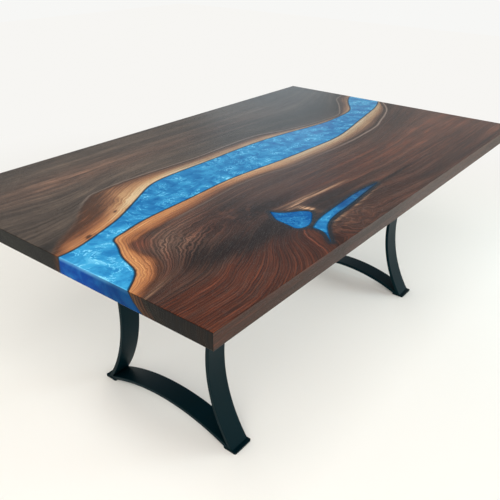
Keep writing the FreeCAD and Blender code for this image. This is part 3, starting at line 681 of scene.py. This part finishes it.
tail_lines = between_banks(tail_low_bank, tail_high_bank, stations, np.linspace(0, 1, TAIL_LINES))
pool_lines = between_banks(pool_low_bank, pool_high_bank, stations, np.array([0.0, 1.0]))
right_edge_levels = live_edge(right_bank_top, right_bank_low, stations)


def right_slab_lines(edge):
    """All lines of the right slab at one level, and the place of each knot bank among them."""
    outer = to_live_edge(-HALF_WIDTH, tail_lines[:, 0], OUTER_LINES)[:, :-1]
    bridge = band_to(tail_lines[:, -1], pool_lines[:, 0], BRIDGE_LINES)
    field = band_to(pool_lines[:, -1], edge, FIELD_LINES)
    places = np.cumsum([outer.shape[1], tail_lines.shape[1] - 1, bridge.shape[1] + 1, 1])
    return np.hstack([outer, tail_lines, bridge, pool_lines, field, edge[:, None]]), places


right_lines = [right_slab_lines(edge)[0] for edge in right_edge_levels]
tail_low, tail_high, pool_low, pool_high = right_slab_lines(right_edge_levels[0])[1]
points = sheets(stations, right_lines)
pool_run = within(pool_low_bank, stations)
tail_run = within(tail_low_bank, stations)
pocket_floor = points[0].copy()
pocket_floor[..., 2] = TOP - TAIL_DEPTH
patches = [
    points[0][:, :tail_low + 1], points[0][:, tail_high:pool_low + 1], points[0][:, pool_high:],
    points[2][:, :pool_low + 1], points[2][:, pool_high:],
    points[:, :, 0], points[:, :, -1], points[:, 0], points[:, -1],
    pocket_floor[tail_run, tail_low:tail_high + 1],
]
for bank in (pool_low, pool_high):
    patches.append(points[:, pool_run, bank])
for bank in (tail_low, tail_high):
    patches.append(np.stack([points[0][tail_run, bank], pocket_floor[tail_run, bank]]))
slab_right = solid("walnut_slab_right", patches)
x, y, z = vertex_places(slab_right)
y = under_top(x, y, z, right_bank_top, right_bank_low)


def outline_distance(low_bank, high_bank, x, y):
    """Distance to a closed outline: the least of the distances to its straight stretches."""
    loop = np.vstack([low_bank, high_bank[::-1], low_bank[:1]])
    nearest = np.full(x.shape, 1.0)
    for start, end in zip(loop[:-1], loop[1:]):
        run = end - start
        length = max(run @ run, 1e-12)
        t = (((x - start[0]) * run[0] + (y - start[1]) * run[1]) / length).clip(0, 1)
        nearest = np.minimum(nearest, np.hypot(x - start[0] - t * run[0], y - start[1] - t * run[1]))
    return nearest


# The rings follow the live edge. Further in they pass over its hook at the near end, and then turn
# straight along the plank, lifted where they pass the knots.
grain_line = lengthened(right_bank_top, 0.25, 0.75)
off_edge = soft_distance(grain_line, x, y)
round_crook = soft_distance(grain_line[grain_line[:, 0] > CROOK_START], x, y)
rings = off_edge + (round_crook - off_edge) * ease_between(0.03, 0.12, off_edge)
straight = np.maximum(ease_between(0.09, 0.34, off_edge),
                      ease_between(-0.60, -0.76, x) * ease_between(-0.290, -0.400, y))
lift_fade = np.where(y > KNOT_ROW, np.exp((KNOT_ROW - y) / 0.10),
                     0.35 + 0.65 * ease_between(-0.56, KNOT_ROW, y))
lifted = y - through(KNOT_LIFT, x) * lift_fade
past_heart = patchwork(x, y, RIGHT_BORDER_SHIFT) - beside(RIGHT_HEARTWOOD, x, y)
give(slab_right, "grain", x,
     rings * (1 - straight) + (-0.045 - 0.10 * ease_between(-0.40, -0.80, x) - lifted) * straight,
     past_heart / (0.005 + patchwork(x, y, RIGHT_SOFT_BORDER)))

off_knots = np.minimum(outline_distance(pool_low_bank, pool_high_bank, x, y),
                       outline_distance(tail_low_bank, tail_high_bank, x, y))
red_front = ease_between(-0.37, -0.41, y) * ease_between(-0.30, -0.46, x)
give(slab_right, "zones",
     (patchwork(x, y, RIGHT_DARK) + 1.1 * np.exp(-off_knots / 0.005)).clip(-0.7, 1.8),
     (0.42 + patchwork(x, y, RIGHT_RED) + 0.58 * red_front + 0.15 * ease_between(-0.20, -0.26, y)).clip(0, 1),
     (patchwork(x, y, RIGHT_CURL) + 0.8 * np.exp(-off_knots / 0.025)).clip(0, 1.2))
beside_tail = (np.exp(-((off_knots - 0.013) / 0.005) ** 2) * ease_between(-0.37, -0.33, x)
               * ease_between(-0.02, -0.14, x) * (y < np.interp(x, *tail_low_bank.T)))
give(slab_right, "edges", np.minimum(-beside(right_bank_top, x, y), 0.32 * off_knots),
     off_edge / (off_edge + np.abs(past_heart)),
     (patchwork(x, y, RIGHT_PALE_STREAKS) + 0.5 * beside_tail).clip(0, 1))
# The sapwood's orange turns, below 0, into the painted reflection towards the far end.
give(slab_right, "marks", (0.4 + 0.9 * ease_between(0.05, 0.45, x)) * ease_between(-0.66, -0.56, x),
     ease_between(-0.10, -0.65, x) - 0.8 * ease_between(-0.16, 0.08, x), patchwork(x, y, RIGHT_SNARL))
slab_right.data.materials.append(walnut)
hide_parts("slab_right")
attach(slab_right, "root")

# ---------------------------------------------------------------------------------------------------
# River and knot fillings: blue epoxy with pearl pigment, poured between the live edges and into the
# knots, stirred as it set, then sanded level with the wood and polished.
# ---------------------------------------------------------------------------------------------------

RESIN_DEEP = (0.004, 0.085, 0.290)
RESIN_BLUE = (0.018, 0.197, 0.450)
RESIN_LIGHT = (0.042, 0.330, 0.600)
RESIN_PEARL = (0.200, 0.600, 0.850)
RESIN_TONES = [(0.00, RESIN_DEEP), (0.42, RESIN_BLUE), (0.72, RESIN_LIGHT), (1.00, RESIN_PEARL)]
# A darker blue for the end faces, which is painted shade, and a deeper painted shade for them towards the
# right bank.
RESIN_END_PAINTED_SHADE = (0.000, 0.038, 0.215)
RESIN_SHADED_END = (0.000, 0.018, 0.060)
RESIN_OVER_BARK = (0.020, 0.030, 0.036)
RESIN_BANK = (0.006, 0.030, 0.060)
RIVER_LINES = 41
POOL_FILL_LINES = 9
TAIL_FILL_LINES = 15


def resin_finish():
    """Pearl pigment in veils and threads: noise read at places that a slower noise has pushed about.
    Edges holds the distance to the bank, how much dark bark shows through, and the shade of the knots.
    The end faces are painted a darker blue as painted shade, deeper towards the right bank, with a
    painted highlight along their top edge."""
    resin = Finish(bpy.data.materials.new("river_resin"))
    x, y, z = resin.parts(resin.place)
    inward, bark, shade = resin.read("edges")
    push = resin.add("ShaderNodeVectorMath", {"operation": "SUBTRACT"},
                     (resin.noise(resin.place, 7, 2, 0.5, 0.4, output="Color"), (0.5, 0.5, 0.5)))
    pushed = resin.add("ShaderNodeVectorMath", {"operation": "MULTIPLY_ADD"},
                       (push, (0.12, 0.12, 0.12), resin.place))
    veil = resin.swing(pushed, 26, 5, 0.62)
    threads = (1 - abs(resin.swing(pushed, 52, 3, 0.55)) * 2) ** 24
    gaps = resin.step(resin.noise(resin.place, 26, 1), 0.40, 0.60)
    pools = resin.swing(resin.place, 4.5, 1)
    near_end = resin.step(x, -0.62, -0.86)
    tone = 0.41 + 1.35 * veil + 0.54 * threads * gaps + 0.14 * near_end + 0.55 * pools - 0.42 * shade
    colour = resin.ramp(tone, RESIN_TONES)
    # The end faces are painted a darker blue as painted shade, with the pigment's clouds in it.
    end_face = resin.step(resin.face_turn()[0], 0.55, 0.85)
    cloudy = resin.step(resin.noise(pushed, 26, 3), 0.40, 0.70)
    colour = resin.mix(end_face, colour, resin.mix(0.35 * cloudy, RESIN_END_PAINTED_SHADE, RESIN_BLUE))
    # A painted highlight along the top edge of the end faces, where the eased rim catches the light.
    by_end = resin.step(abs(x), HALF_LENGTH - 0.004, HALF_LENGTH - 0.001)
    painted_highlight_rim = by_end * resin.step(z, TOP - 0.012, TOP)
    colour = resin.mix((0.10 + 0.45 * resin.noise(pushed, 22, 1)) * painted_highlight_rim, colour, RESIN_PEARL)
    # Painted shade on the end faces, deepest towards the right bank.
    colour = resin.mix(0.65 * end_face * resin.step(y, -0.13, -0.27), colour, RESIN_SHADED_END)
    colour = resin.mix(bark, colour, RESIN_OVER_BARK)
    colour = resin.mix(0.8 * resin.step(inward, 0.0045, 0.0010), colour, RESIN_BANK)
    resin.surface(Base_Color=colour, Roughness=0.20 + 0.10 * veil, IOR=1.11)
    return resin.owner


river_resin = resin_finish()
river_lines = [spread(right, left, np.linspace(0, 1, RIVER_LINES))
               for right, left in zip(right_edge_levels, left_edge_levels)]
river = solid("resin_pour_river", whole_skin(sheets(stations, river_lines)))
pool_fill = between_banks(pool_low_bank, pool_high_bank, stations, np.linspace(0, 1, POOL_FILL_LINES))
pool = solid("resin_fill_pool", whole_skin(sheets(stations, [pool_fill] * 3)[:, pool_run]))
tail_fill = between_banks(tail_low_bank, tail_high_bank, stations, np.linspace(0, 1, TAIL_FILL_LINES))
tail_points = sheets(stations, [tail_fill] * 3)[[0, 2]][:, tail_run]
tail_points[1, ..., 2] = TOP - TAIL_DEPTH
tail = solid("resin_fill_tail", whole_skin(tail_points))
x, y, z = vertex_places(river)
give(river, "edges",
     np.minimum(beside(right_bank_top, x, under_top(x, y, z, right_bank_top, right_bank_low)),
                -beside(left_bank_top, x, under_top(x, y, z, left_bank_top, left_bank_low))), 0 * x, 0 * x)
x, y, z = vertex_places(pool)
give(pool, "edges", 0.9 * outline_distance(pool_low_bank, pool_high_bank, x, y), 0 * x, 0 * x + 1)
x, y, z = vertex_places(tail)
off_bark = 0.7 * (y - np.interp(x, *tail_low_bank.T)) - 0.004 * ease_between(-0.37, -0.25, x)
deeper_bark = 0.25 * ease_between(-0.32, -0.20, x) + 0.75 * ease_between(-0.18, 0.02, x)
give(tail, "edges", 0.7 * outline_distance(tail_low_bank, tail_high_bank, x, y),
     0.95 * np.maximum(deeper_bark, ease_between(0.003, -0.002, off_bark)),
     0.5 + 0.1 * ease_between(-0.26, -0.05, x))
for piece, node in ((river, "resin_river"), (pool, "resin_knot_pool"), (tail, "resin_knot_tail")):
    piece.data.materials.append(river_resin)
    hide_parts(node)
    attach(piece, "root")

# ---------------------------------------------------------------------------------------------------
# Uprights: flat steel bar, 76 by 13 mm, bent on a large radius with the hollow side outwards, sawn off
# level at the foot and at the top, its edges broken, and powder coated satin black.
# ---------------------------------------------------------------------------------------------------

BAR_THICKNESS = 0.0127
BAR_EDGE_RADIUS = 0.0015
BAR_EDGE_STEPS = 5
WAIST_HEIGHT = 0.304
UPRIGHT_RADIUS = 0.528
UPRIGHT_AXIS_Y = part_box("near_leg_left_upright")[0].y + BAR_THICKNESS + UPRIGHT_RADIUS
UPRIGHT_STEPS = 97
FRAME_ENDS = ("near", "far")


def powder_coat_finish():
    """Satin black with the faint orange peel of baked powder."""
    coat = Finish(bpy.data.materials.new("black_powder_coat"))
    peel = coat.noise(coat.place, 420, 2)
    coat.surface(Base_Color=(0.0001, 0.0070, 0.0100), Roughness=0.36 + 0.08 * peel, IOR=1.20,
                 Specular_Tint=(0.50, 0.92, 1.00), Normal=coat.bump(peel, 0.00008))
    return coat.owner


def bar_section(centre_x, half_width):
    """A flat bar's section with rounded edges, a quarter circle at each corner: x, and the way across its
    thickness, from 0 on one face to the whole thickness on the other."""
    turn = np.linspace(0, math.pi / 2, BAR_EDGE_STEPS)
    corner_x = half_width - BAR_EDGE_RADIUS
    corner_y = BAR_THICKNESS / 2 - BAR_EDGE_RADIUS
    quarters = []
    for quarter, (side_x, side_y) in enumerate([(1, 1), (-1, 1), (-1, -1), (1, -1)]):
        angle = quarter * math.pi / 2 + turn
        quarters.append(np.stack([centre_x + side_x * corner_x + BAR_EDGE_RADIUS * np.cos(angle),
                                  BAR_THICKNESS / 2 + side_y * corner_y + BAR_EDGE_RADIUS * np.sin(angle)]))
    section = np.concatenate(quarters, axis=1)
    return np.concatenate([section, section[:, :1]], axis=1)


def bent_bar(name, centre_x, half_width, run, point_at):
    """A bar along a bend: point_at gives y and z for a share of the run and a depth in the bar."""
    section_x, depth = bar_section(centre_x, half_width)
    share, depth = np.meshgrid(run, depth, indexing="ij")
    across, height = point_at(share, depth)
    points = np.stack([np.broadcast_to(section_x, across.shape), across, height], axis=-1)
    half = len(section_x) // 2
    caps = [np.stack([row[:half + 1], row[:half - 1:-1]]) for row in (points[0], points[-1])]
    return solid(name, [points] + caps)


powder_coat = powder_coat_finish()
for end in FRAME_ENDS:
    for side_name, side in (("left", 1), ("right", -1)):
        node = "%s_leg_%s_upright" % (end, side_name)
        low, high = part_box(node)

        def upright_point(share, depth):
            """Every fibre of the bar is an arc about one axis, outside the frame."""
            height = low.z + share * (high.z - low.z)
            fibre = UPRIGHT_RADIUS + depth
            return side * (UPRIGHT_AXIS_Y - np.sqrt(fibre ** 2 - (height - WAIST_HEIGHT) ** 2)), height

        upright = bent_bar("bent_bar_%s_%s" % (end, side_name), (low.x + high.x) / 2,
                           (high.x - low.x) / 2, np.linspace(0, 1, UPRIGHT_STEPS), upright_point)
        upright.data.materials.append(powder_coat)
        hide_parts(node)
        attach(upright, "root")

# ---------------------------------------------------------------------------------------------------
# Arched stretchers: the same flat bar, bent the other way between the feet. Their toes are dressed flat
# on the foot plates and welded to the uprights.
# ---------------------------------------------------------------------------------------------------

ARCH_RADIUS = 0.678
ARCH_STEPS = 121
foot_plate_low, foot_plate_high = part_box("near_leg_left_foot_plate")
ARCH_AXIS_Z = foot_plate_high.z - math.sqrt(ARCH_RADIUS ** 2 - foot_plate_low.y ** 2)

for end in FRAME_ENDS:
    node = end + "_leg_arch_stretcher"
    low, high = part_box(node)

    def arch_point(share, depth):
        """An arc about an axis below the floor, cut level where it would pass the foot plates."""
        across = (2 * share - 1) * high.y
        height = ARCH_AXIS_Z + np.sqrt((ARCH_RADIUS + depth) ** 2 - across ** 2)
        return across, np.maximum(height, foot_plate_high.z)

    arch = bent_bar("arched_bar_" + end, (low.x + high.x) / 2, (high.x - low.x) / 2,
                    np.linspace(0, 1, ARCH_STEPS), arch_point)
    arch.data.materials.append(powder_coat)
    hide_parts(node)
    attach(arch, "root")

# ---------------------------------------------------------------------------------------------------
# Plates and welds: small plates under the feet and a slotted flat bar across the top of each frame,
# welded on before the frame was coated, so they carry the same powder.
# ---------------------------------------------------------------------------------------------------


def finish_nodes(names, material):
    """Gives a finish to pieces of both frames that keep the CAD's own shape."""
    for end in FRAME_ENDS:
        for name in names:
            for material_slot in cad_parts["%s_leg_%s" % (end, name)].material_slots:
                material_slot.material = material


finish_nodes(("mounting_plate", "left_foot_plate", "right_foot_plate", "weld_beads"), powder_coat)

# ---------------------------------------------------------------------------------------------------
# Lag screws and washers: zinc plated steel. The screws are driven up through the washers and the slots
# into blind holes in the slabs, loose enough in the slots for the wood to move.
# ---------------------------------------------------------------------------------------------------


def zinc_finish():
    """Bright zinc with the faint cloudiness of its plating."""
    zinc = Finish(bpy.data.materials.new("zinc_plated_steel"))
    cloud = zinc.noise(zinc.place, 160, 3)
    zinc.surface(Base_Color=zinc.mix(cloud, (0.52, 0.53, 0.54), (0.70, 0.70, 0.68)), Metallic=1.0,
                 Roughness=0.28 + 0.16 * cloud)
    return zinc.owner


finish_nodes(("lag_screws", "washers"), zinc_finish())

# ---------------------------------------------------------------------------------------------------
# The room: a pale floor that runs out into a white surround, three soft lamps and the camera. None of
# them is part of the table.
# ---------------------------------------------------------------------------------------------------

FLOOR_HALF = 9.0
FLOOR_PAINT = (0.895, 0.869, 0.826)
FLOOR_FAR_OFF = (0.93, 0.92, 0.895)
BACKDROP_LOW = (0.93, 0.93, 0.915)
BACKDROP_HIGH = (0.93, 0.93, 0.92)
OVERHEAD_GLOW = (0.10, 0.10, 0.10)
SIDE_GLOW = (1.0, 0.985, 0.935)
OVERHEAD_REFLECTION = (0.19, 0.225, 0.265)


def floor_finish():
    """Pale paint that, where the camera sees it far off, gives way to an even brightness."""
    floor = Finish(bpy.data.materials.new("pale_floor"))
    x, y = floor.parts(floor.place)[:2]
    floor.surface(Base_Color=FLOOR_PAINT, Roughness=0.85)
    seen = floor.add("ShaderNodeLightPath", output="Is Camera Ray")
    far_off = floor.step((x * x + y * y) ** 0.5, 1.35, 3.2)
    bright = floor.add("ShaderNodeEmission", inputs={"Color": FLOOR_FAR_OFF, "Strength": 1.0})
    mixed = floor.add("ShaderNodeMixShader",
                      inputs=(far_off * seen, Value(floor, floor.shader.outputs[0]), bright))
    floor.links.new(mixed.socket, floor.nodes["Material Output"].inputs[0])
    return floor.owner


floor_mesh = bpy.data.meshes.new("floor")
floor_mesh.from_pydata([(-FLOOR_HALF, -FLOOR_HALF, 0), (FLOOR_HALF, -FLOOR_HALF, 0),
                        (FLOOR_HALF, FLOOR_HALF, 0), (-FLOOR_HALF, FLOOR_HALF, 0)], [], [(0, 1, 2, 3)])
floor = bpy.data.objects.new("floor", floor_mesh)
bpy.context.collection.objects.link(floor)
floor_mesh.materials.append(floor_finish())

surround = Finish(bpy.data.worlds.new("surround"), coordinates="Generated")
bpy.context.scene.world = surround.owner
upward = surround.parts(surround.place)[2]


def sky_band(low_colour, high_colour, start, end, strength):
    """A surround that keeps one colour up to a height, and has turned to the other at a greater one."""
    colour = surround.mix(surround.step(upward, start, end), low_colour, high_colour)
    return surround.add("ShaderNodeBackground", inputs={"Color": colour, "Strength": strength})


seen, glossy, passing = [surround.add("ShaderNodeLightPath", output=kind)
                         for kind in ("Is Camera Ray", "Is Glossy Ray", "Is Transmission Ray")]
light = sky_band(SIDE_GLOW, OVERHEAD_GLOW, 0.42, 0.75, 1.93)
reflection = sky_band(BACKDROP_LOW, OVERHEAD_REFLECTION, 0.14, 0.46, 1.0)
backdrop = sky_band(BACKDROP_LOW, BACKDROP_HIGH, 0.0, 1.0, 1.0)
mirrored = glossy.math("MAXIMUM", glossy, passing)
unseen = surround.add("ShaderNodeMixShader", inputs=(mirrored, light, reflection))
whole = surround.add("ShaderNodeMixShader", inputs=(seen, unseen, backdrop))
surround.links.new(whole.socket, surround.nodes["World Output"].inputs[0])


def soft_lamp(name, place, target, size, watts, colour):
    """A square lamp that faces its target."""
    lamp = bpy.data.lights.new(name, "AREA")
    lamp.size = size
    lamp.energy = watts
    lamp.color = colour
    holder = bpy.data.objects.new(name, lamp)
    place, target = np.array(place, dtype=float), np.array(target, dtype=float)
    back = (place - target) / np.linalg.norm(place - target)
    right = np.cross((0.0, 1.0, 0.001), back)
    right /= np.linalg.norm(right)
    up = np.cross(back, right)
    matrix = np.eye(4)
    matrix[:3] = np.stack([right, up, back, place], axis=-1)
    holder.matrix_world = matrix.T
    bpy.context.collection.objects.link(holder)


soft_lamp("key", (-2.3, -1.4, 3.3), (0.0, 0.0, 0.5), size=2.2, watts=84, colour=(1.0, 0.985, 0.955))
soft_lamp("right_panel", (1.8, -2.0, 0.9), (0.6, -0.4, 0.35), size=1.0, watts=20, colour=(0.62, 0.88, 1.0))
soft_lamp("far_left_panel", (3.5, 2.55, 1.35), (0.2, 0.2, 0.7), size=1.3, watts=6, colour=(0.60, 0.84, 1.0))

CAMERA_PLACE = np.array([-1.6170, -1.1573, 1.4334])
CAMERA_HEADING = math.radians(37.51)
CAMERA_PITCH = math.radians(27.74)
CAMERA_ROLL = math.radians(0.95)
CAMERA_LENS = 43.475

ahead = np.array([math.cos(CAMERA_HEADING) * math.cos(CAMERA_PITCH),
                  math.sin(CAMERA_HEADING) * math.cos(CAMERA_PITCH), -math.sin(CAMERA_PITCH)])
level_right = np.array([math.sin(CAMERA_HEADING), -math.cos(CAMERA_HEADING), 0.0])
upright_up = np.cross(level_right, ahead)
camera_right = math.cos(CAMERA_ROLL) * level_right + math.sin(CAMERA_ROLL) * upright_up
camera_up = math.cos(CAMERA_ROLL) * upright_up - math.sin(CAMERA_ROLL) * level_right
camera = bpy.data.objects.new("camera", bpy.data.cameras.new("camera"))
camera.data.sensor_width = 36
camera.data.lens = CAMERA_LENS
stance = np.eye(4)
stance[:3] = np.stack([camera_right, camera_up, -ahead, CAMERA_PLACE], axis=-1)
camera.matrix_world = stance.T
bpy.context.collection.objects.link(camera)
bpy.context.scene.camera = camera
bpy.context.scene.view_settings.view_transform = "Standard"
